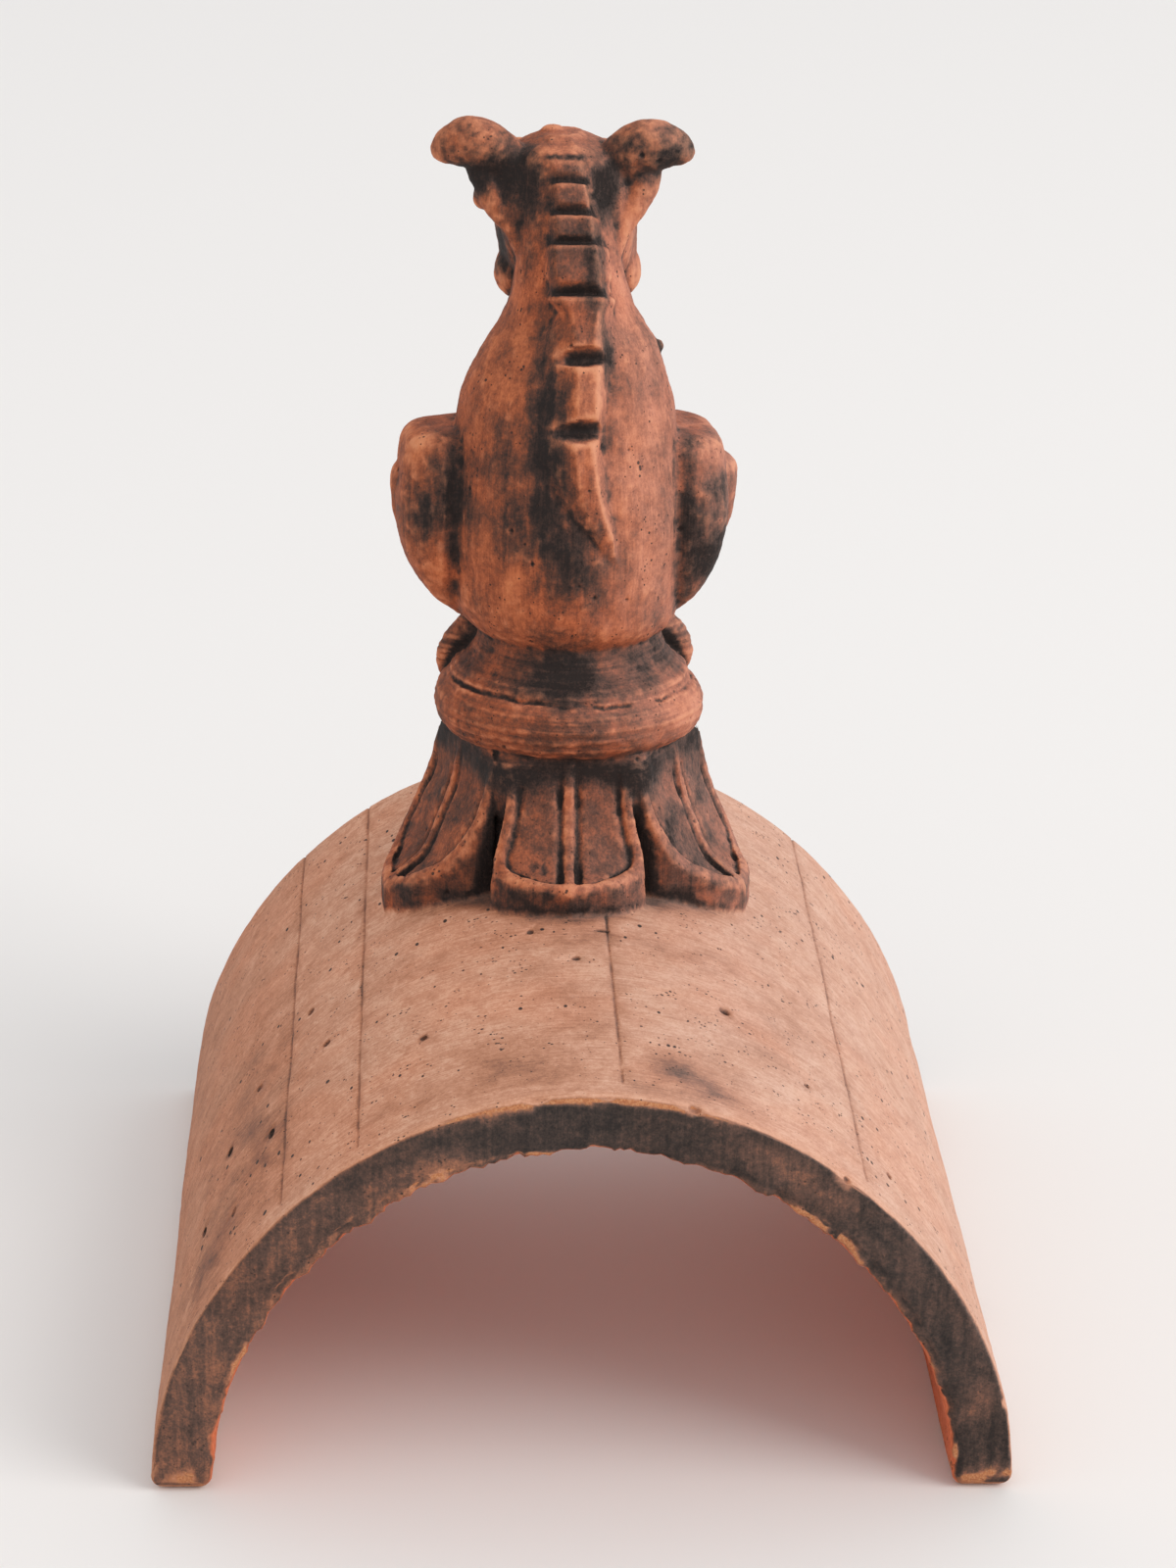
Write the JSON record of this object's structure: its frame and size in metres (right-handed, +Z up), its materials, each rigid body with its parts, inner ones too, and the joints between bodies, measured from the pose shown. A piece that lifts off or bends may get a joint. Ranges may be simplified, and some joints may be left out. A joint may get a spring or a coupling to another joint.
{
  "type": "decorative ridge tile",
  "caption": "Half-round terracotta roof ridge tile that carries a petalled collar and a seated winged dragon finial, made as one fired piece.",
  "frame": {"origin": "on the ground, under the middle of the tile's width and length", "axes": "+Z up, +Y along the ridge towards the end that the dragon faces, +X to the dragon's right as seen from behind"},
  "size_m": [0.25, 0.272, 0.3609],
  "materials": {
    "terracotta": "unglazed fired clay, matt, pale salmon on the tile and darkened by a brown-black patina on the figure and the end face"
  },
  "bodies": {
    "root": {"ridge_tile": "terracotta"}
  },
  "joints": []
}
